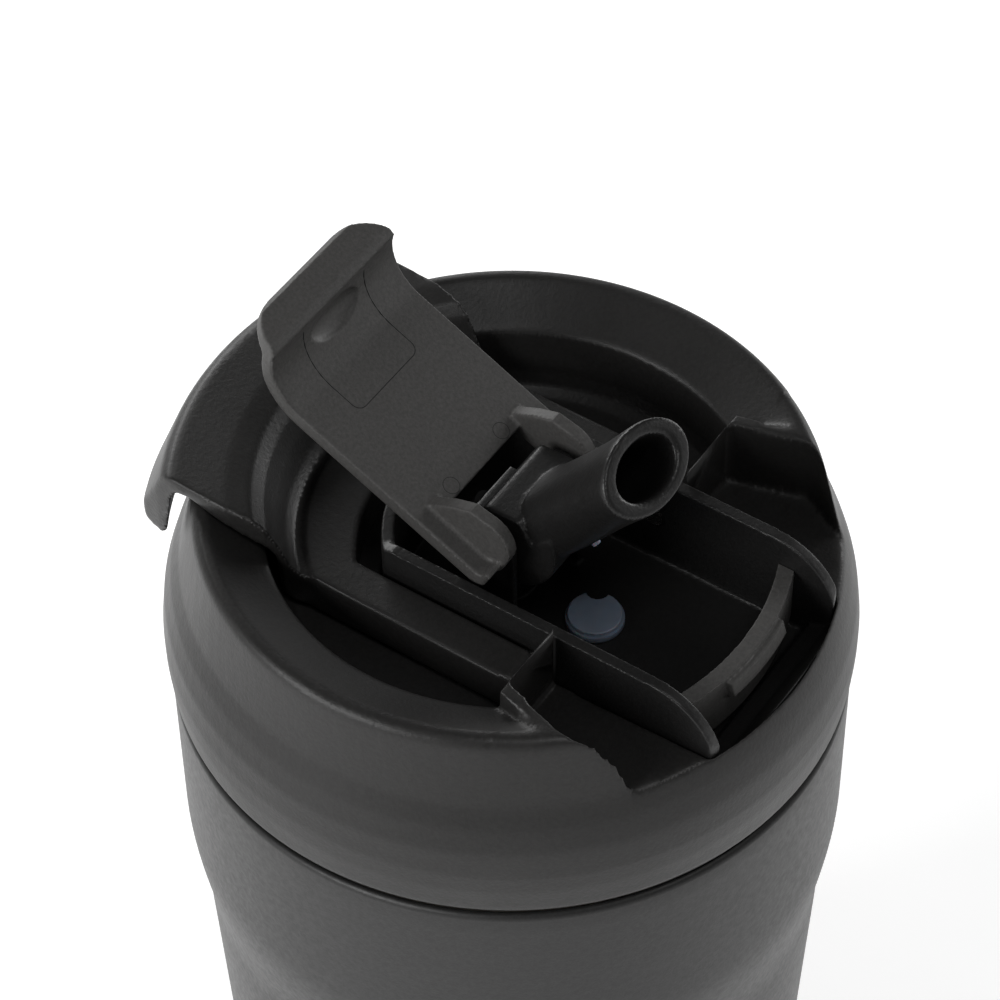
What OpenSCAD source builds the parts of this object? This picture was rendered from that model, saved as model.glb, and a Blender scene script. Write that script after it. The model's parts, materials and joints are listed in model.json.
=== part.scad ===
// Insulated travel mug: a vacuum-walled steel cup with a screw lid.
// The lid carries a flip cover, a tilting drinking spout, a vent valve and a folding carry handle.
// Millimetres. Z is up, the base rests on Z = 0, and the spout side is the front, at -Y.

/* [Cup] */
// Height of the line where the lid meets the cup
seam_z = 146; // [135:1:160]
// Radius of the cup's shoulder
shoulder_r = 45; // [44:0.5:46]
// Radius of the cup where the shoulder ends
waist_r = 43; // [42:0.5:44]
// Radius of the cup at its base
base_r = 39; // [37:0.5:41]
// Thickness of the steel walls
steel_t = 0.7; // [0.5:0.1:0.8]
// Radius of the mouth that the lid screws into
mouth_r = 40; // [39.9:0.05:40.1]

/* [Lid] */
// Largest radius of the lid
lid_r = 45.5; // [45.3:0.1:46]
// Height of the lid's crest above the seam
crest_h = 28.3; // [28:0.1:28.5]
// Radius of the crest
crest_r = 40.5; // [40.3:0.1:40.8]
// Radius of the edge of the basin in the lid's top
basin_r = 31.6; // [31.4:0.1:31.8]
// Height of the basin's floor above the seam
basin_h = 15.5; // [15.2:0.1:15.6]
// Height of the ledge in front of the handle's arms above the seam
ledge_h = 18; // [17.5:0.1:18.2]

/* [Channel] */
// Distance from the middle to the inner face of a side wall
wall_in = 13.5; // [13.4:0.1:13.6]
// Distance from the middle to the outer face of a side wall
wall_out = 15.2; // [15.1:0.05:15.3]
// Height of the top of the side walls above the seam
wall_h = 26.2; // [25.5:0.1:26.4]
// Height of the channel's floor above the seam
floor_h = 11.5; // [11:0.1:11.6]

/* [Hinge] */
// Distance of the hinge line in front of the lid's middle
hinge_front = 3; // [2.9:0.05:3.1]
// Height of the hinge line above the seam
hinge_h = 28; // [27.9:0.05:28.1]
// Radius of the hinge pins
hinge_pin_r = 1.25; // [1:0.05:1.3]
// Lean of the open cover above the horizontal, in degrees
cover_lean = 26.6; // [25:0.1:28]
// Tilt of the raised spout above the horizontal, in degrees
spout_lean = 47; // [46:0.5:48]

/* [Handle] */
// Distance from the middle to the inner face of a handle arm
arm_in = 15.7; // [15.6:0.05:15.8]
// Distance from the middle to the outer face of a handle arm
arm_out = 21.3; // [21:0.1:21.5]
// Height of the top of the arms above the seam
arm_h = 22; // [21.8:0.1:22.2]
// Half of the width of the handle's tab
tab_half = 24; // [23:0.5:24.5]

/* [Straw] */
// Outer radius of the straw
straw_r = 4; // [3.9:0.05:4.1]
// Height of the straw's lower end above the table
straw_end = 16; // [14:1:24]

/* [Hidden] */
$fn = 96;
running = 0.05;      // radial clearance of a pin in a hole that turns on it
gap = 0.3;           // clearance between pieces that move past each other
wall = 2;            // thickness of the moulded plastic walls
pad_h = 3;           // height of the foot pad
liner_base = 9;      // height of the liner's outer bottom
shoulder_low = 26;   // depth below the seam where the shoulder starts to narrow
waist_low = 47;      // depth below the seam where the narrowing ends
lip_low = 1;         // depth of the steel lip below the seam
thread_depths = [6, 10, 14];
pin_y = -hinge_front;
pin_z = seam_z + hinge_h;
back_y = -7;         // centre of the rounded back of the channel
back_r = 22.2;       // outer radius of the rounded back of the channel
port_y = 1.2;        // centre of the drinking port
port_r = 2.6;
drum_r = 8.2;        // radius of the spout's drum about the hinge line
vent_y = -13;        // centre of the vent valve
arm_y = -13;         // hinge line of the handle
arm_z = seam_z + arm_h - 3;
arm_pin_r = 1.5;
steel = [0.72, 0.70, 0.66];
coat = [0.10, 0.10, 0.10];
shell_black = [0.16, 0.16, 0.16];
inner_black = [0.12, 0.12, 0.12];
soft_black = [0.07, 0.07, 0.07];
clear_blue = [0.62, 0.69, 0.76];

function ease(t) = (1 - cos(180 * t)) / 2;
function arc(cx, cy, r, a0, a1, n = 10) =
    [for (i = [0:n]) [cx + r * cos(a0 + (a1 - a0) * i / n), cy + r * sin(a0 + (a1 - a0) * i / n)]];

// Radius of the cup's outer wall at a height above the table
function cup_r(z) =
    z > seam_z - shoulder_low ? shoulder_r :
    z > seam_z - waist_low ?
        shoulder_r - (shoulder_r - waist_r) * ease((seam_z - shoulder_low - z) / (waist_low - shoulder_low)) :
    base_r + (waist_r - base_r) * (z - pad_h) / (seam_z - waist_low - pad_h);
cup_stations = concat([pad_h + 3, seam_z - waist_low],
                      [for (i = [1:9]) seam_z - waist_low + (waist_low - shoulder_low) * i / 10],
                      [seam_z - shoulder_low, seam_z - 4]);
function cup_side(inset) = [for (z = cup_stations) [cup_r(z) - inset, z]];
function reversed(p) = [for (i = [len(p) - 1:-1:0]) p[i]];

// ---- cup ----

module outer_shell() {
    color(coat)
        rotate_extrude()
            polygon(concat([[base_r - 3.5, pad_h]],
                           arc(base_r - 2.8, pad_h + 3, 3, -90, 0, 6),
                           cup_side(0),
                           arc(shoulder_r - 1, seam_z - lip_low - 1, 1, 0, 90, 4),
                           [[shoulder_r - 1, seam_z - lip_low - 1]],
                           reversed(cup_side(steel_t)),
                           [[base_r - 3.5, pad_h + steel_t]]));
}

module inner_liner() {
    inner = mouth_r - 2;
    low_r = base_r - 5;
    color(steel)
        rotate_extrude()
            polygon(concat([[0, liner_base]],
                           arc(low_r - 5, liner_base + 6, 6, -90, 0, 6),
                           [[inner + steel_t, seam_z - waist_low],
                            [inner + steel_t, seam_z - 22],
                            [mouth_r + steel_t, seam_z - 19],
                            [mouth_r + steel_t, seam_z - lip_low - steel_t],
                            [shoulder_r - 1, seam_z - lip_low - steel_t],
                            [shoulder_r - 1, seam_z - lip_low],
                            [mouth_r, seam_z - lip_low]],
                           [for (d = thread_depths) each
                               [[mouth_r, seam_z - d + 1.2], [mouth_r - 0.6, seam_z - d + 0.4],
                                [mouth_r - 0.6, seam_z - d - 0.4], [mouth_r, seam_z - d - 1.2]]],
                           [[mouth_r, seam_z - 19.4],
                            [inner, seam_z - 22.4],
                            [inner, seam_z - waist_low]],
                           reversed(arc(low_r - 5, liner_base + 6, 6 - steel_t, -90, 0, 6)),
                           [[0, liner_base + steel_t]]));
}

module base_disc() {
    color(steel)
        translate([0, 0, pad_h])
            difference() {
                cylinder(r = base_r - 3.5, h = 1);
                translate([0, 0, -1]) cylinder(r = 2.5, h = 3);
            }
}

module vacuum_plug() {
    color(steel)
        translate([0, 0, pad_h]) cylinder(r = 2.5, h = 0.8);
}

module getter() {
    color(steel)
        translate([14, 0, liner_base - 1.5]) cylinder(r = 4, h = 1.5);
}

module base_pad() {
    color(soft_black)
        rotate_extrude()
            polygon([[0, 0], [base_r - 2.2, 0], [base_r - 1, 1.2], [base_r - 1, pad_h], [0, pad_h]]);
}

// ---- lid ----

// Outline of the lid's outside, from the skirt up to the crest
function dome_side() =
    concat([[lid_r - 0.9, 0], [lid_r - 0.3, 1]],
           [[lid_r, 5], [lid_r, 8]],
           [[lid_r - 0.45, 12], [lid_r - 1.5, 15.5], [lid_r - 2.8, 18.5], [lid_r - 3.7, 22]],
           arc(crest_r - 1.5, crest_h - 1.7, 1.7, 5, 115, 6));

module dome() {
    translate([0, 0, seam_z])
        rotate_extrude()
            polygon(concat([[0, 0]], dome_side(), [[0, crest_h]]));
}

// Plan of the channel housing, grown by a margin
module housing_plan(grow = 0) {
    intersection() {
        translate([-wall_out - grow, -60]) square([2 * (wall_out + grow), 120]);
        union() {
            translate([-60, -60]) square([120, 60 + 4]);
            translate([0, back_y]) circle(r = back_r + grow);
        }
        circle(r = 42.4 + grow);
    }
}

// Plan of the opening at the front, which bulges and then narrows to the rim's two horns
module cut_plan(grow = 0) {
    for (side = [0, 1])
        mirror([side, 0])
            polygon(concat([[-1, -14], [24.6 + grow, -14], [25.8 + grow, -18]],
                           arc(23.2 + grow, -27.2, 4.9, 15, -38, 8),
                           [[25.4 + grow, -32.8], [24.8 + grow, -34.6], [24.8 + grow, -60], [-1, -60]]));
}

// Everything above the ledge at the front, between the two horns of the rim
module front_cut() {
    translate([0, 0, seam_z])
        intersection() {
            rotate([90, 0, 90])
                linear_extrude(height = 100, center = true)
                    polygon([[-60, ledge_h + 1.2], [-42, ledge_h + 0.6], [-17, ledge_h - 0.5], [-17, 60], [-60, 60]]);
            linear_extrude(height = 60) cut_plan();
        }
}

module lid_shell() {
    color(shell_black)
        difference() {
            union() {
                translate([0, 0, seam_z])
                    rotate_extrude()
                        polygon(concat(dome_side(),
                                       [[basin_r + 0.6, 25], [basin_r, 24.5],
                                        [basin_r - 0.5, basin_h + 2.5], [basin_r - 1.3, basin_h + 0.8],
                                        [basin_r - 3, basin_h], [0, basin_h], [0, basin_h - wall],
                                        [32.4, basin_h - wall], [33.5, 22], [38.8, 25.2], [39.6, 24],
                                        [lid_r - 5.8, 18], [lid_r - wall - 0.9, 10], [lid_r - wall - 0.9, 0]]));
                intersection() {
                    dome();
                    translate([0, 0, seam_z + basin_h - wall])
                        linear_extrude(height = 30)
                            intersection() {
                                cut_plan(wall);
                                translate([-60, -60]) square([120, 43.2]);
                            }
                }
            }
            front_cut();
            translate([0, 0, seam_z - 1])
                linear_extrude(height = 60) housing_plan(0.05);
        }
}

// Side view of a channel wall: a level top that curves down to the front rim
module wall_side() {
    translate([0, 0, seam_z])
        rotate([90, 0, 90])
            linear_extrude(height = wall_out - wall_in)
                polygon(concat([[10, floor_h - wall], [10, wall_h - 0.6], [8, wall_h]],
                               arc(-30.6, wall_h - 10, 10, 90, 176, 10),
                               [[-39.5, floor_h - wall]]));
}

module channel_housing() {
    color(inner_black)
        difference() {
            union() {
                translate([0, 0, seam_z + floor_h - wall])
                    linear_extrude(height = wall) housing_plan();
                intersection() {
                    translate([0, 0, seam_z + floor_h - wall])
                        linear_extrude(height = 20) housing_plan();
                    union() {
                        translate([wall_in, 0, 0]) wall_side();
                        translate([-wall_out, 0, 0]) wall_side();
                    }
                }
                // rounded back wall
                translate([0, 0, seam_z + floor_h - wall])
                    linear_extrude(height = wall_h - 0.6 - floor_h + wall)
                        difference() {
                            intersection() {
                                housing_plan();
                                translate([-30, 6]) square([60, 30]);
                            }
                            intersection() {
                                translate([0, back_y]) circle(r = back_r - 1.8);
                                translate([-wall_in, 0]) square([2 * wall_in, 40]);
                            }
                        }
                // front recess, a floor that rises to the rim
                translate([0, 0, seam_z])
                    intersection() {
                        linear_extrude(height = 30) housing_plan();
                        rotate([90, 0, 90])
                            linear_extrude(height = 2 * wall_in, center = true)
                                polygon([[-43, floor_h], [-36, floor_h], [-37, 13.4], [-39.6, 14.6],
                                         [-42, 17.6], [-43, 18.2]]);
                    }
                // drinking port and the cheeks that hold the hinge pins
                translate([0, port_y, seam_z + floor_h - 1]) cylinder(r = 4.6, h = 12);
                for (side = [-1, 1])
                    translate([side * 7.4 - 0.5, 0, 0]) {
                        translate([0, pin_y - 2.8, seam_z + floor_h - 1]) cube([1, 5.6, hinge_h - floor_h + 1]);
                        translate([0, pin_y, pin_z]) rotate([0, 90, 0]) cylinder(r = 2.8, h = 1);
                    }
                translate([0, port_y, seam_z + 3]) cylinder(r = 4.6, h = floor_h - wall - 2.5);
            }
            translate([-6.8, pin_y, pin_z]) rotate([0, 90, 0]) cylinder(r = drum_r + gap, h = 13.6);
            translate([0, port_y, seam_z]) cylinder(r = port_r, h = 30);
            translate([0, port_y, seam_z + 17.5]) cylinder(r = 3.8, h = 20);
            translate([0, vent_y, seam_z]) cylinder(r = 1.2, h = 20);
            translate([-20, pin_y, pin_z]) rotate([0, 90, 0]) cylinder(r = hinge_pin_r, h = 40);
            translate([-20, arm_y, arm_z]) rotate([0, 90, 0]) cylinder(r = arm_pin_r, h = 40);
        }
}

module front_catch() {
    color(inner_black)
        translate([0, 0, seam_z])
            difference() {
                intersection() {
                    union() {
                        cylinder(r = 36.8, h = 22);
                        intersection() {
                            rotate_extrude() polygon([[30, 18.6], [37.4, 18.6], [38.2, 19.4], [37.6, 21.4], [30, 21.4]]);
                            translate([-6.2, -50, 0]) cube([12.4, 50, 40]);
                        }
                    }
                    translate([-wall_in, -50, 13.5]) cube([2 * wall_in, 30, 20]);
                }
                translate([0, 0, -1]) cylinder(r = 34.6, h = 40);
            }
    color(inner_black)
        translate([0, 0, seam_z])
            difference() {
                intersection() {
                    cylinder(r = 35.9, h = 13.6);
                    translate([-wall_in, -50, floor_h]) cube([2 * wall_in, 30, 20]);
                }
                translate([0, 0, -1]) cylinder(r = 34.6, h = 40);
            }
}

module thread_insert() {
    plug_r = mouth_r - 1.8;
    color(inner_black)
        translate([0, 0, seam_z])
            difference() {
                union() {
                    rotate_extrude()
                        polygon(concat([[0, 1], [plug_r - wall, 1], [plug_r - wall, -18], [plug_r, -18]],
                                       [for (d = reversed(thread_depths)) each
                                           [[plug_r, -d - 1], [plug_r + 0.9, -d - 0.3],
                                            [plug_r + 0.9, -d + 0.3], [plug_r, -d + 1]]],
                                       [[plug_r, 1], [lid_r - wall - 0.9, 1], [lid_r - wall - 0.9, 3], [0, 3]]));
                    translate([0, port_y, -14]) cylinder(r = straw_r - 0.8, h = 16);
                }
                translate([0, port_y, -20]) cylinder(r = port_r, h = 40);
                translate([0, vent_y, -20]) cylinder(r = 1.2, h = 40);
            }
}

module lid_gasket() {
    color(soft_black)
        translate([0, 0, seam_z - lip_low + 0.05])
            difference() {
                cylinder(r = lid_r - wall - 0.95, h = 0.95 + lip_low - 0.05);
                translate([0, 0, -1]) cylinder(r = mouth_r - 1.8 + 0.1, h = 4);
            }
}

module port_seal() {
    color(soft_black)
        difference() {
            translate([0, port_y, seam_z + 17.5]) cylinder(r = 3.8, h = 8);
            translate([0, port_y, seam_z + 10]) cylinder(r = port_r, h = 20);
            translate([-10, pin_y, pin_z]) rotate([0, 90, 0]) cylinder(r = drum_r + gap, h = 20);
        }
}

module vent_valve() {
    color(clear_blue)
        translate([0, vent_y, seam_z]) {
            translate([0, 0, floor_h])
                difference() {
                    union() {
                        cylinder(r = 3.9, h = 1);
                        cylinder(r = 3.6, h = 1.6);
                    }
                    translate([3.4, 1.8, -1]) cylinder(r = 1.5, h = 4);
                }
            translate([0, 0, 1]) cylinder(r = 1.2, h = floor_h - 1);
        }
}

module straw() {
    color(clear_blue)
        translate([0, port_y, straw_end])
            difference() {
                cylinder(r = straw_r, h = seam_z - 2 - straw_end);
                translate([0, 0, -1]) cylinder(r = straw_r - 0.8, h = seam_z);
            }
}

module hinge_pins() {
    color(steel)
        for (side = [-1, 1])
            translate([side * 6.9 - 2.7, pin_y, pin_z])
                rotate([0, 90, 0]) cylinder(r = hinge_pin_r, h = 5.4);
}

module handle_pins() {
    color(steel)
        for (side = [-1, 1])
            translate([side * (wall_in + 3.2) - 3.2, arm_y, arm_z])
                rotate([0, 90, 0]) cylinder(r = arm_pin_r, h = 6.4);
}

// ---- pieces that swing ----

// Section of the tab: up out of the basin, over the rim and down outside it
tab_section = concat([[24.6, 16.2], [28.4, 16.2], [29.8, 17.6], [30.4, 24.4], [31.6, 25.6], [34, 26.5]],
                     [[40.5, 29.1], [42.2, 28.9], [43.2, 27], [44.2, 20]],
                     arc(45.6, 20, 1.4, 180, 270, 4), [[46.4, 18.6]],
                     arc(46.2, 20, 1.4, -70, 0, 4),
                     [[47.6, 22]], arc(42.4, 28.6, 2.4, 25, 90, 5),
                     [[36, 30.6], [33, 29.9], [31.2, 28.4], [29.8, 25.6], [28.8, 23], [27.6, 21.5],
                      [26.8, 21.5], [26.3, 22], [24.6, 22]]);

// Right half of the tab's plan, from the arm's outer side out to the hook's corner
tab_plan = [[-1, 14], [arm_out, 14], [arm_out, 16.5], [tab_half - 2, 19], [tab_half - 1, 22.4],
            [tab_half - 0.3, 26], [tab_half, 29], [tab_half, 35.5], [tab_half - 0.4, 38.5],
            [tab_half - 1.2, 41.5], [tab_half - 2, 44], [tab_half - 2.2, 48.5], [-1, 48.5]];

module carry_handle() {
    color(shell_black)
        difference() {
            union() {
                intersection() {
                    translate([0, 0, arm_z - 3])
                        linear_extrude(height = 6)
                            difference() {
                                intersection() {
                                    circle(r = 26.3);
                                    translate([-arm_out, arm_y]) square([2 * arm_out, 60]);
                                }
                                intersection() {
                                    translate([0, back_y]) circle(r = 25.4);
                                    translate([-arm_in, -40]) square([2 * arm_in, 80]);
                                }
                            }
                }
                for (side = [-1, 1])
                    translate([side * (arm_in + arm_out) / 2, arm_y, arm_z])
                        rotate([0, 90, 0]) cylinder(r = 3, h = arm_out - arm_in, center = true);
                intersection() {
                    translate([0, 0, seam_z]) rotate_extrude() polygon(tab_section);
                    translate([0, 0, seam_z])
                        linear_extrude(height = 40)
                            for (side = [0, 1]) mirror([side, 0]) polygon(tab_plan);
                }
            }
            for (side = [-1, 1])
                translate([side * (wall_in + 3.2) - 3.3, arm_y, arm_z])
                    rotate([0, 90, 0]) cylinder(r = arm_pin_r + running, h = 6.6);
        }
}

// The cover in its own frame: the hinge line along X at the origin, the plate along +Y, its inside facing +Z
cover_half = 13.1;
cover_t = 2;
cover_section = concat([[7.5, -0.25], [28.3, -0.25]],
                       arc(28.3, 7.15, 7.4, -84, -8, 8),
                       [[36.3, 6.6], [37, 6.7], [40.6, 6.1], [41.2, 5.3], [40.7, 4.4], [38.3, 4.4]],
                       arc(28.3, 7.15, 9.4, -18, -90, 8),
                       [[7.5, -0.25 - cover_t]]);

// One ear that holds the pin, with the shelf and low end wall outside it
module ear() {
    translate([8.2, 0, 0])
        rotate([90, 0, 90])
            linear_extrude(height = 2)
                polygon(concat([[9.6, -0.3], [7.2, 2.8], [4.9, 5]], arc(1.4, 1.3, 4.3, 70, 165, 8),
                               [[-2.9, 0], [-2.4, -1.6], [-1.4, -2.25], [9.6, -2.25]]));
    translate([8.3, 0, 0])
        rotate([90, 0, 90])
            linear_extrude(height = cover_half - 8.3)
                polygon([[8, -0.25], [-0.8, -0.25], [-1.5, 0.2], [-1.7, 1], [-2.5, 1], [-2.5, -1.2], [-1.4, -2.25],
                         [8, -2.25]]);
}

module flip_cover() {
    color(shell_black)
        translate([0, pin_y, pin_z])
            rotate([cover_lean, 0, 0])
                difference() {
                    union() {
                        intersection() {
                            rotate([90, 0, 90])
                                linear_extrude(height = 2 * cover_half, center = true) polygon(cover_section);
                            translate([0, 0, -20])
                                linear_extrude(height = 40) {
                                    translate([-cover_half, 0]) square([2 * cover_half, 34.5]);
                                    translate([-cover_half + 6.5, 0]) square([2 * cover_half - 13, 41.2]);
                                    for (side = [-1, 1])
                                        translate([side * (cover_half - 6.6), 34.6]) circle(r = 6.6);
                                }
                        }
                        for (side = [0, 1]) mirror([side, 0, 0]) ear();
                    }
                    translate([-9.7, 0, 0]) rotate([0, 90, 0]) cylinder(r = hinge_pin_r + running, h = 19.4);
                }
}

// The spout in its own frame: the hinge line along X at the origin, the tube along +Z
module oval(t, v, half_x, half_v, thick) {
    translate([0, v, t])
        linear_extrude(height = thick) {
            square([2 * (half_x - half_v), 2 * half_v], center = true);
            for (side = [-1, 1]) translate([side * (half_x - half_v), 0]) circle(r = half_v);
        }
}

module spout() {
    color(inner_black)
        translate([0, pin_y, pin_z])
            difference() {
                union() {
                    rotate([90 - spout_lean, 0, 0]) {
                        oval(2.5, -2.1, 6.5, 4.5, 9);
                        oval(9, -1.7, 6.7, 4.7, 6.5);
                        oval(14, -1.2, 7, 4.8, 7);
                        oval(20.4, -0.7, 8.1, 5.1, 4.1);
                    }
                    // drum with a flat top, cut back behind the hinge
                    difference() {
                        translate([-6.5, 0, 0]) rotate([0, 90, 0]) cylinder(r = drum_r, h = 13);
                        translate([-20, -20, 4]) cube([40, 40, 20]);
                        translate([-20, 3.2, -3.4]) cube([40, 20, 20]);
                        translate([-20, -23.4, 0.6]) cube([40, 20, 20]);
                    }
                }
                rotate([90 - spout_lean, 0, 0]) {
                    cylinder(r = port_r, h = 14);
                    oval(12, -0.7, 5.3, 3.2, 20);
                    translate([-1.5, -5.1, 8.2]) rotate([90, 0, 0]) cylinder(r = 0.6, h = 5);
                }
                rotate([-150, 0, 0]) cylinder(r = port_r - 0.1, h = 20);
                sphere(r = port_r + 0.5);
                for (side = [-1, 1])
                    translate([side * 8.5 - 4.3, 0, 0])
                        rotate([0, 90, 0]) cylinder(r = hinge_pin_r + running, h = 8.6);
            }
}

module spout_plug() {
    color(clear_blue)
        translate([0, pin_y, pin_z])
            rotate([90 - spout_lean, 0, 0])
                translate([-1.5, -5.1, 8.2]) rotate([90, 0, 0]) cylinder(r = 0.6, h = 2.5);
}

outer_shell();
inner_liner();
base_disc();
vacuum_plug();
getter();
base_pad();
lid_shell();
channel_housing();
front_catch();
thread_insert();
lid_gasket();
port_seal();
vent_valve();
straw();
hinge_pins();
handle_pins();
carry_handle();
flip_cover();
spout();
spout_plug();
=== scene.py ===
"""Insulated travel mug: soft-edged mouldings, a coated cup and their materials."""
import json
import math

import bmesh
import bpy
from mathutils import Matrix, Vector


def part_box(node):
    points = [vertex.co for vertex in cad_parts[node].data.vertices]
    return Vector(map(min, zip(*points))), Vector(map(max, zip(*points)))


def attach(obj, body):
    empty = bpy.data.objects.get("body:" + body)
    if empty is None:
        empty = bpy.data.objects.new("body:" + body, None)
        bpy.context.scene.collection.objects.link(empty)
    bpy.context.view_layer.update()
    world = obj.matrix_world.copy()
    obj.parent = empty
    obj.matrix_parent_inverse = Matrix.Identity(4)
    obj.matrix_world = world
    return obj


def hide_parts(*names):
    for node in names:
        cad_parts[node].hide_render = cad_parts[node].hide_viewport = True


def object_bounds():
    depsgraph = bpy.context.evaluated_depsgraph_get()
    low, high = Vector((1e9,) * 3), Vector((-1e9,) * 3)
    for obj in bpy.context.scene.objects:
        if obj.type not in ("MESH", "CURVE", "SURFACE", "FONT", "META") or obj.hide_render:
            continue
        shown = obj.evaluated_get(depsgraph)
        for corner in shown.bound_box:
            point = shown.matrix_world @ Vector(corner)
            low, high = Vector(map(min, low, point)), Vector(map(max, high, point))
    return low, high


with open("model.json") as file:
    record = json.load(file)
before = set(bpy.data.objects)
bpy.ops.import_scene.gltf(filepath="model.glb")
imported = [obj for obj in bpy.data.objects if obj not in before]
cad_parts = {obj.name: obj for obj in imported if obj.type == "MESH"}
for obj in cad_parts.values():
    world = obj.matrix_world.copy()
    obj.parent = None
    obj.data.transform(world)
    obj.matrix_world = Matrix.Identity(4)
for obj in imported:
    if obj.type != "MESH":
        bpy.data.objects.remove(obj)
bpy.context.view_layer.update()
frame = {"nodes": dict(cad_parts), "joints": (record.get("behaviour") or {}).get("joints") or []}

MM = 0.001
nodes = frame["nodes"]
joints = {joint["name"]: joint for joint in frame["joints"]}
collection = bpy.context.scene.collection

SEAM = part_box("lid_shell")[0].z                       # where the lid meets the cup
HINGE = Vector(joints["cover_close"]["pos_m"])        # hinge line of the cover and the spout
COVER_LEAN = math.radians(26.6)                       # lean of the open cover above the horizontal
SPOUT_LEAN = math.radians(47)                         # tilt of the raised spout above the horizontal
COVER = Matrix.Translation(HINGE) @ Matrix.Rotation(COVER_LEAN, 4, "X")
SPOUT = Matrix.Translation(HINGE) @ Matrix.Rotation(math.pi / 2 - SPOUT_LEAN, 4, "X")


# ---- materials ----

def shader(name, colour, roughness, **sockets):
    """A new material and its Principled shader, with plain values on the shader's own sockets."""
    material = bpy.data.materials.new(name)
    material.use_nodes = True
    principled = material.node_tree.nodes["Principled BSDF"]
    principled.inputs["Base Color"].default_value = (*colour, 1)
    principled.inputs["Roughness"].default_value = roughness
    for socket, value in sockets.items():
        principled.inputs[socket.replace("_", " ")].default_value = value
    return material, principled


def texture(material, kind, scale, stretch=(1, 1, 1), **settings):
    """A procedural texture in the object's own coordinates. Scale is in features per metre."""
    tree = material.node_tree
    place = tree.nodes.new("ShaderNodeTexCoord")
    mapping = tree.nodes.new("ShaderNodeMapping")
    mapping.inputs["Scale"].default_value = stretch
    tree.links.new(place.outputs["Object"], mapping.inputs["Vector"])
    node = tree.nodes.new(kind)
    node.inputs["Scale"].default_value = scale
    for socket, value in settings.items():
        node.inputs[socket].default_value = value
    tree.links.new(mapping.outputs["Vector"], node.inputs["Vector"])
    return node


def spread(material, source, low, high, target):
    """Drives a shader socket with a texture that runs from low to high."""
    tree = material.node_tree
    if isinstance(low, tuple):
        ramp = tree.nodes.new("ShaderNodeValToRGB")
        ramp.color_ramp.elements[0].position = 0.3
        ramp.color_ramp.elements[1].position = 0.7
        ramp.color_ramp.elements[0].color = (*low, 1)
        ramp.color_ramp.elements[1].color = (*high, 1)
        tree.links.new(source, ramp.inputs["Fac"])
        tree.links.new(ramp.outputs["Color"], target)
        return
    remap = tree.nodes.new("ShaderNodeMapRange")
    remap.inputs["From Min"].default_value = 0.3
    remap.inputs["From Max"].default_value = 0.7
    remap.inputs["To Min"].default_value = low
    remap.inputs["To Max"].default_value = high
    tree.links.new(source, remap.inputs["Value"])
    tree.links.new(remap.outputs["Result"], target)


def add_bumps(material, principled, layers):
    """Stacks bump layers, each (height socket, strength, distance in metres)."""
    tree = material.node_tree
    below = None
    for height, strength, distance in layers:
        bump = tree.nodes.new("ShaderNodeBump")
        bump.inputs["Strength"].default_value = strength
        bump.inputs["Distance"].default_value = distance
        tree.links.new(height, bump.inputs["Height"])
        if below:
            tree.links.new(below.outputs["Normal"], bump.inputs["Normal"])
        below = bump
    tree.links.new(below.outputs["Normal"], principled.inputs["Normal"])


def scaled(colour, factor):
    return tuple(min(factor * value, 1) for value in colour)


def moulded_plastic(name, colour, roughness, grain=2600, relief=0.3):
    """Spark-eroded plastic: a fine grain, a little uneven in tone and gloss."""
    material, principled = shader(name, colour, roughness, Specular_IOR_Level=0.36)
    fine = texture(material, "ShaderNodeTexNoise", grain, Detail=3, Roughness=0.6)
    broad = texture(material, "ShaderNodeTexNoise", 45, Detail=3)
    spread(material, fine.outputs["Fac"], scaled(colour, 0.8), scaled(colour, 1.22),
           principled.inputs["Base Color"])
    spread(material, broad.outputs["Fac"], roughness - 0.05, roughness + 0.05,
           principled.inputs["Roughness"])
    add_bumps(material, principled, [(fine.outputs["Fac"], relief, 0.00006),
                                     (broad.outputs["Fac"], 0.04, 0.0004)])
    return material


def powder_coat(name, colour):
    """Coated steel: a faint orange peel with fine specks."""
    material, principled = shader(name, colour, 0.42, Specular_IOR_Level=0.36)
    peel = texture(material, "ShaderNodeTexNoise", 1100, Detail=2)
    speck = texture(material, "ShaderNodeTexVoronoi", 3200)
    spread(material, speck.outputs["Distance"], scaled(colour, 0.85), scaled(colour, 1.2),
           principled.inputs["Base Color"])
    spread(material, peel.outputs["Fac"], 0.38, 0.46, principled.inputs["Roughness"])
    add_bumps(material, principled, [(peel.outputs["Fac"], 0.18, 0.0001),
                                     (speck.outputs["Distance"], 0.12, 0.00005)])
    return material


def turned_steel(name, colour, roughness):
    """Steel with fine rings left by turning."""
    material, principled = shader(name, colour, roughness, Metallic=1.0)
    rings = texture(material, "ShaderNodeTexNoise", 900, stretch=(0.05, 0.05, 4), Detail=4)
    stain = texture(material, "ShaderNodeTexNoise", 60, Detail=3)
    spread(material, rings.outputs["Fac"], roughness - 0.08, roughness + 0.12,
           principled.inputs["Roughness"])
    spread(material, stain.outputs["Fac"], scaled(colour, 0.9), colour, principled.inputs["Base Color"])
    add_bumps(material, principled, [(rings.outputs["Fac"], 0.15, 0.00005)])
    return material


def silicone(name, colour, roughness, **sockets):
    """Rubbery plastic, slightly cloudy and dusty."""
    material, principled = shader(name, colour, roughness, **sockets)
    cloud = texture(material, "ShaderNodeTexNoise", 300, Detail=4)
    dust = texture(material, "ShaderNodeTexNoise", 2200, Detail=2)
    spread(material, cloud.outputs["Fac"], scaled(colour, 0.88), scaled(colour, 1.08),
           principled.inputs["Base Color"])
    add_bumps(material, principled, [(dust.outputs["Fac"], 0.12, 0.00005)])
    return material


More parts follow.
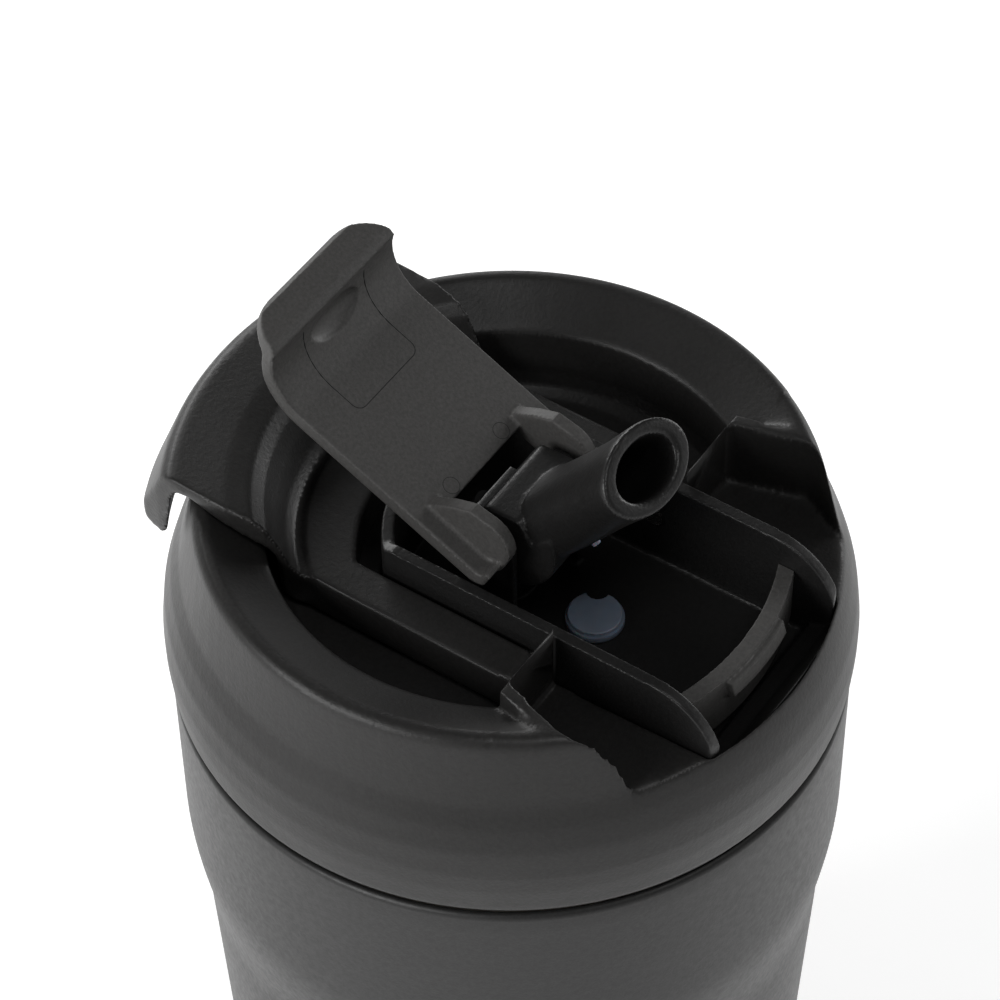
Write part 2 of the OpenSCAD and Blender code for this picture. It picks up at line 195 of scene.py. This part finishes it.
SHELL = moulded_plastic("shell_plastic", (0.014, 0.0135, 0.0131), 0.43, grain=1700, relief=0.7)
HOUSING = moulded_plastic("housing_plastic", (0.009, 0.0088, 0.0087), 0.38, grain=1900, relief=0.7)
COVER_FACE = moulded_plastic("cover_plastic", (0.052, 0.0505, 0.0488), 0.52, grain=2200, relief=0.5)
COATING = powder_coat("coated_steel", (0.011, 0.0109, 0.0108))
LINER = turned_steel("bare_steel", (0.64, 0.60, 0.53), 0.3)
PIN = turned_steel("pin_steel", (0.62, 0.61, 0.59), 0.22)
RUBBER = silicone("silicone", (0.012, 0.012, 0.012), 0.6)
CLEAR = silicone("clear_silicone", (0.2, 0.245, 0.32), 0.38,
                 Subsurface_Weight=0.35, Subsurface_Scale=0.002)
STRAW = silicone("clear_plastic", (0.62, 0.66, 0.70), 0.2, Transmission_Weight=0.35, IOR=1.5)
# painted groove shade: a near-black tone for the parting line and ejector marks, standing for the shade
# in their shallow grooves
GROOVE_SHADE = moulded_plastic("painted_groove_shade", (0.006, 0.006, 0.006), 0.7)


# ---- mesh work ----

def new_piece(name, mesh, body, material, slot, *stands_for):
    """Links a finished mesh as a piece of the object."""
    mesh.materials.clear()
    mesh.materials.append(material)
    mesh.polygons.foreach_set("use_smooth", [True] * len(mesh.polygons))
    piece = bpy.data.objects.new(name, mesh)
    collection.objects.link(piece)
    if stands_for:
        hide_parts(*stands_for)
    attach(piece, body)
    return piece


def baked(holder):
    """The mesh of an object with its modifiers or bevel applied, the object itself removed."""
    bpy.context.view_layer.update()
    graph = bpy.context.evaluated_depsgraph_get()
    result = bpy.data.meshes.new_from_object(holder.evaluated_get(graph))
    bpy.data.objects.remove(holder)
    return result


def finished(bm_or_mesh, steps):
    """The mesh with modifiers applied, each step being (type, settings)."""
    mesh = bm_or_mesh
    if isinstance(bm_or_mesh, bmesh.types.BMesh):
        mesh = bpy.data.meshes.new("work")
        bm_or_mesh.to_mesh(mesh)
        bm_or_mesh.free()
    holder = bpy.data.objects.new("work", mesh)
    collection.objects.link(holder)
    for kind, settings in steps:
        modifier = holder.modifiers.new(kind.lower(), kind)
        for key, value in settings.items():
            setattr(modifier, key, value)
    return baked(holder)


def softened(bm_or_mesh, voxel, passes, keep=0.5):
    """One skin over all the solids in a mesh, with every edge rounded as a moulding's is."""
    return finished(bm_or_mesh, [
        ("REMESH", {"mode": "VOXEL", "voxel_size": voxel * MM}),
        ("SMOOTH", {"factor": 0.5, "iterations": passes}),
        ("DECIMATE", {"ratio": keep}),
        ("WEIGHTED_NORMAL", {"keep_sharp": False}),
    ])


def node_copy(node):
    """A bmesh copy of a CAD node, with its split corners joined."""
    bm = bmesh.new()
    bm.from_mesh(nodes[node].data)
    bmesh.ops.remove_doubles(bm, verts=bm.verts, dist=1e-6)
    return bm


def moulding(node, body, material, slot, voxel, passes, keep=0.5):
    """A piece that stands for a CAD node, with softened edges."""
    mesh = softened(node_copy(node), voxel, passes, keep)
    return new_piece(node + "_moulding", mesh, body, material, slot, node)


def add_loft(bm, rings):
    """A closed solid through rings of equal length, with flat ends."""
    skin = [[bm.verts.new(point) for point in ring] for ring in rings]
    count = len(rings[0])
    for one, two in zip(skin, skin[1:]):
        for i in range(count):
            bm.faces.new((one[i], one[(i + 1) % count], two[(i + 1) % count], two[i]))
    bm.faces.new(list(reversed(skin[0])))
    bm.faces.new(skin[-1])


def lathe(profile, segments=192):
    """A closed outline of (radius, height) in metres turned about Z."""
    bm = bmesh.new()
    rows = []
    for k in range(segments):
        angle = 2 * math.pi * k / segments
        c, s = math.cos(angle), math.sin(angle)
        rows.append([bm.verts.new((r * c, r * s, z)) for r, z in profile])
    for k in range(segments):
        one, two = rows[k], rows[(k + 1) % segments]
        for i in range(len(profile)):
            j = (i + 1) % len(profile)
            bm.faces.new((one[i], two[i], two[j], one[j]))
    bmesh.ops.remove_doubles(bm, verts=bm.verts, dist=1e-7)
    bmesh.ops.recalc_face_normals(bm, faces=bm.faces)
    return bm


def arc(cx, cy, radius, start, end, count=8):
    """Points of an arc, angles in degrees."""
    angles = [math.radians(start + (end - start) * i / count) for i in range(count + 1)]
    return [(cx + radius * math.cos(a), cy + radius * math.sin(a)) for a in angles]


def groove(name, points, body, closed=False, width=0.07):
    """A parting line along a face, drawn as a thin dark tube: painted shade of the groove."""
    curve = bpy.data.curves.new(name, "CURVE")
    curve.dimensions = "3D"
    curve.bevel_depth = width * MM
    curve.bevel_resolution = 2
    spline = curve.splines.new("POLY")
    spline.points.add(len(points) - 1)
    for point, place in zip(spline.points, points):
        point.co = (*place, 1)
    spline.use_cyclic_u = closed
    holder = bpy.data.objects.new(name, curve)
    collection.objects.link(holder)
    return new_piece(name, baked(holder), body, GROOVE_SHADE, "cover_plastic")


# ---- cup ----

# Radii where the shoulder ends and at the base, and depths below the seam where the narrowing
# starts and ends, in millimetres
WAIST_R, BASE_R = 43.0, 39.0
SHOULDER_LOW, WAIST_LOW = 26.0, 47.0
STEEL = 0.7


def cup_side(inset=0.0):
    """The cup's side from the base up to the shoulder, in millimetres."""
    low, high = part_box("outer_shell")
    seam, shoulder, foot = SEAM / MM, high.x / MM, low.z / MM
    side = []
    waist = seam - WAIST_LOW
    for k in range(9):
        z = foot + 3 + (waist - foot - 3) * k / 9
        side.append((BASE_R + (WAIST_R - BASE_R) * (z - foot) / (waist - foot) - inset, z))
    for k in range(17):
        z = waist + (WAIST_LOW - SHOULDER_LOW) * k / 16
        ease = (1 - math.cos(math.pi * (1 - k / 16))) / 2
        side.append((shoulder - (shoulder - WAIST_R) * ease - inset, z))
    for z in (seam - 22, seam - 16, seam - 10, seam - 5):
        side.append((shoulder - inset, z))
    return side


def make_cup():
    """The outer steel skin, turned from one outline."""
    low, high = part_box("outer_shell")
    top, shoulder, foot = high.z / MM, high.x / MM, low.z / MM
    outline = [(BASE_R - 3.5, foot)]
    outline += arc(BASE_R - 2.8, foot + 3, 3, -90, -8, 7)
    outline += cup_side()[1:]
    outline += arc(shoulder - 0.9, top - 0.9, 0.9, 0, 90, 6)
    outline += [(shoulder - 1, top - 0.9)]
    outline += list(reversed(cup_side(STEEL)))[1:]
    outline += [(BASE_R - 3.5, foot + STEEL)]
    bm = lathe([(r * MM, z * MM) for r, z in outline])
    mesh = finished(bm, [("WEIGHTED_NORMAL", {})])
    new_piece("coated_cup", mesh, "cup", COATING, "coated_steel", "outer_shell")


# ---- spout ----

def oval_ring(t, v, half_x, half_v, power=2.2, count=48):
    """One section of the spout's tube, across its own axis, in millimetres."""
    ring = []
    for i in range(count):
        angle = 2 * math.pi * i / count
        c, s = math.cos(angle), math.sin(angle)
        x = half_x * math.copysign(abs(c) ** (2 / power), c)
        y = half_v * math.copysign(abs(s) ** (2 / power), s)
        ring.append(SPOUT @ Vector((x * MM, (v + y) * MM, t * MM)))
    return ring


def make_spout():
    """The drinking tube, flared at its mouth, on the drum that turns between the cheeks."""
    bm = bmesh.new()
    # position along the tube, centre across it, half widths, and squareness of each section
    outside = [(-2, -2.6, 6.0, 4.6, 3.2), (4, -2.5, 6.1, 4.7, 3.0), (9, -2.2, 6.25, 4.75, 2.7),
               (14, -1.75, 6.55, 4.75, 2.4), (18, -1.35, 7.0, 4.8, 2.2), (21, -1.0, 7.5, 4.92, 2.1),
               (23.4, -0.75, 8.0, 5.06, 2), (24.2, -0.7, 8.05, 5.06, 2), (24.5, -0.7, 7.8, 4.85, 2),
               (24.5, -0.7, 5.9, 3.75, 2), (24.2, -0.7, 5.45, 3.35, 2), (23.4, -0.7, 5.33, 3.2, 2),
               (17, -0.8, 4.9, 3.1, 2), (9, -1, 3.4, 2.9, 2)]
    add_loft(bm, [oval_ring(*section) for section in outside])
    # flat-topped drum between the cheeks
    drum = arc(0, 0, 8.1, 155, 337, 24) + [(3.2, -3.2), (3.2, 2.6)] + arc(1.8, 2.6, 1.4, 0, 90, 4)
    drum += arc(-2.2, 3, 1, 90, 150, 3)
    drum += [(-4.4, 0.6)]
    rings = []
    for x in (-6.5, 6.5):
        rings.append([HINGE + Vector((x, y, z)) * MM for y, z in drum])
    add_loft(bm, rings)
    mesh = softened(bm, 0.24, 7, 0.55)
    new_piece("drinking_spout", mesh, "tilting_spout", HOUSING, "housing_plastic", "spout")


# ---- cover ----

# Height of the inside face, and the start and radius of its curl, in millimetres
FACE, BEND_S, BEND_R = -0.25, 28.3, 7.4


def on_cover(x, run):
    """A point on the cover's inside face: x across it, run along it from the hinge, in millimetres."""
    if run <= BEND_S:
        return COVER @ Vector((x * MM, run * MM, FACE * MM))
    angle = min((run - BEND_S) / BEND_R, math.radians(80))
    along = BEND_S + BEND_R * math.sin(angle)
    height = FACE + BEND_R * (1 - math.cos(angle))
    return COVER @ Vector((x * MM, along * MM, height * MM))


def scoop(mesh, x, run, half_x, half_run, depth):
    """Presses an oval thumb hollow into the cover's curl."""
    centre = on_cover(x, run)
    ahead = (on_cover(x, run + 0.5) - centre).normalized()
    across = Vector((1, 0, 0))
    inward = across.cross(ahead)
    for vertex in mesh.vertices:
        offset = vertex.co - centre
        height = offset.dot(inward)
        reach = ((offset.dot(across) / (half_x * MM)) ** 2 +
                 (offset.dot(ahead) / (half_run * MM)) ** 2)
        if reach < 1 and -0.5 * MM < height < 1.4 * MM:
            vertex.co = vertex.co - inward * depth * MM * math.sqrt(1 - reach)


def make_cover():
    """The flip cover, with its thumb scoop, and its parting line and ejector marks drawn as dark lines
    of painted groove shade.
    """
    mesh = softened(node_copy("flip_cover"), 0.22, 6, 0.6)
    scoop(mesh, 0, 35.2, 4.8, 2.4, 1.0)
    new_piece("flip_cover_moulding", mesh, "cover", COVER_FACE, "cover_plastic", "flip_cover")
    sunk = COVER.to_3x3() @ Vector((0, 0, 0.03 * MM))
    half, low, corner = 6.5, 23.6, 1.3
    path = [(half, run) for run in (37.6, 36, 34.4, 32.8, 31.2, 29.6, 28)]
    path += arc(half - corner, low + corner, corner, 0, -90, 5)
    path += arc(corner - half, low + corner, corner, -90, -180, 5)
    path += [(-half, run) for run in (28, 29.6, 31.2, 32.8, 34.4, 36, 37.6)]
    # the mould line and ejector marks are dark tubes of painted groove shade, not a colour of the
    # plastic
    groove("mould_line", [on_cover(x, run) - sunk for x, run in path], "cover")
    for name, x0 in (("ejector_mark_left", -5.6), ("ejector_mark_right", 5.6)):
        ring = [on_cover(x0 + x, 8.9 + y) - sunk for x, y in arc(0, 0, 1.15, 0, 345, 23)]
        groove(name, ring, "cover", closed=True, width=0.05)


# ---- lid ----

def relaxed(mesh, inside, passes):
    """Rounds off the part of a mesh that a test picks out, more than the rest."""
    bm = bmesh.new()
    bm.from_mesh(mesh)
    chosen = [vertex for vertex in bm.verts if inside(vertex.co)]
    for _ in range(passes):
        bmesh.ops.smooth_vert(bm, verts=chosen, factor=0.5,
                              use_axis_x=True, use_axis_y=True, use_axis_z=True)
    bm.to_mesh(mesh)
    bm.free()
    return mesh


def at_front(place):
    """Whether a point is on the lid's front, by the cut that the drink passes."""
    return place.y < -0.02 and place.z > SEAM + 0.008


def make_lid():
    """The mouldings of the lid, the handle and the small soft pieces."""
    shell = relaxed(softened(node_copy("lid_shell"), 0.28, 14, 0.4), at_front, 22)
    new_piece("lid_shell_moulding", shell, "lid", SHELL, "shell_plastic", "lid_shell")
    moulding("channel_housing", "lid", HOUSING, "housing_plastic", 0.2, 11, 0.4)
    moulding("front_catch", "lid", COVER_FACE, "housing_plastic", 0.14, 7, 0.5)
    moulding("carry_handle", "handle", SHELL, "shell_plastic", 0.34, 9, 0.5)
    moulding("vent_valve", "lid", CLEAR, "clear_silicone", 0.16, 4, 0.6)
    moulding("spout_plug", "tilting_spout", CLEAR, "clear_silicone", 0.1, 3, 0.6)
    moulding("base_pad", "cup", RUBBER, "silicone", 0.45, 4, 0.4)


def dress_cad():
    """Materials for the CAD nodes that stay."""
    wear = {"inner_liner": LINER, "base_disc": LINER, "vacuum_plug": LINER, "getter": PIN,
            "thread_insert": HOUSING, "lid_gasket": RUBBER, "port_seal": RUBBER, "straw": STRAW,
            "hinge_pins": PIN, "handle_pins": PIN}
    for node, material in wear.items():
        nodes[node].data.materials.clear()
        nodes[node].data.materials.append(material)


# ---- studio ----

def make_floor():
    """A plain pale floor that glows a little, so that it stays white around the mug."""
    material, principled = shader("floor", (0.93, 0.93, 0.93), 0.6,
                                  Emission_Color=(1, 1, 1, 1), Emission_Strength=0.4)
    paper = texture(material, "ShaderNodeTexNoise", 30, Detail=2)
    spread(material, paper.outputs["Fac"], (0.92, 0.92, 0.92), (0.94, 0.94, 0.94),
           principled.inputs["Base Color"])
    bm = bmesh.new()
    bmesh.ops.create_grid(bm, x_segments=2, y_segments=2, size=4)
    mesh = bpy.data.meshes.new("floor")
    bm.to_mesh(mesh)
    bm.free()
    mesh.materials.append(material)
    floor = bpy.data.objects.new("floor", mesh)
    floor.location.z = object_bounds()[0][2] - 0.0002
    collection.objects.link(floor)


def softbox(name, place, target, size, power):
    """A rectangular lamp at a place, turned to a target. Sizes in metres, power in watts."""
    light = bpy.data.lights.new(name, "AREA")
    light.shape = "RECTANGLE"
    light.size, light.size_y = size
    light.energy = power
    lamp = bpy.data.objects.new(name, light)
    lamp.location = place
    lamp.rotation_euler = (Vector(target) - Vector(place)).to_track_quat("-Z", "Y").to_euler()
    collection.objects.link(lamp)


def make_light():
    """White light from low around the mug, dim light from above, and four softboxes."""
    world = bpy.data.worlds.new("studio")
    bpy.context.scene.world = world
    world.use_nodes = True
    tree = world.node_tree
    background = tree.nodes["Background"]
    place = tree.nodes.new("ShaderNodeTexCoord")
    split = tree.nodes.new("ShaderNodeSeparateXYZ")
    ramp = tree.nodes.new("ShaderNodeValToRGB")
    ramp.color_ramp.elements[0].position = 0.02
    ramp.color_ramp.elements[0].color = (1, 1, 1, 1)
    ramp.color_ramp.elements[1].position = 0.5
    ramp.color_ramp.elements[1].color = (0.05, 0.05, 0.05, 1)
    tree.links.new(place.outputs["Generated"], split.inputs["Vector"])
    tree.links.new(split.outputs["Z"], ramp.inputs["Fac"])
    tree.links.new(ramp.outputs["Color"], background.inputs["Color"])
    background.inputs["Strength"].default_value = 0.9
    aim = (0, 0, SEAM)
    softbox("key", (-0.8, 0.35, SEAM + 0.42), aim, (0.5, 0.5), 6)
    softbox("back", (0.45, 0.75, SEAM + 0.36), aim, (0.7, 0.3), 4)
    softbox("side", (0.85, -0.3, SEAM + 0.28), aim, (0.4, 0.4), 3)
    softbox("fill", (-0.15, -0.35, SEAM + 1.0), aim, (0.35, 0.35), 2.2)
    bpy.context.scene.view_settings.view_transform = "Standard"


def make_camera():
    """A view from the front left, looking down on the open lid."""
    elevation, roll, azimuth = math.radians(48.61), math.radians(-0.80), math.radians(-55.45)
    distance, aside, lift = 0.49912, -0.00128, 0.01777
    back = Vector((math.sin(azimuth) * math.cos(elevation),
                   -math.cos(azimuth) * math.cos(elevation),
                   math.sin(elevation)))
    right = Vector((math.cos(azimuth), math.sin(azimuth), 0))
    up = back.cross(right)
    place = Vector((0, 0, SEAM)) + back * distance + right * aside + up * lift
    across = right * math.cos(roll) + up * math.sin(roll)
    upward = up * math.cos(roll) - right * math.sin(roll)
    camera = bpy.data.objects.new("camera", bpy.data.cameras.new("camera"))
    camera.data.sensor_width = 36
    camera.data.lens = 135.7
    camera.data.clip_start = 0.01
    turn = Matrix((across, upward, back)).transposed().to_4x4()
    camera.matrix_world = Matrix.Translation(place) @ turn
    collection.objects.link(camera)
    bpy.context.scene.camera = camera


make_camera()
make_cup()
make_lid()
make_spout()
make_cover()
dress_cad()
make_floor()
make_light()
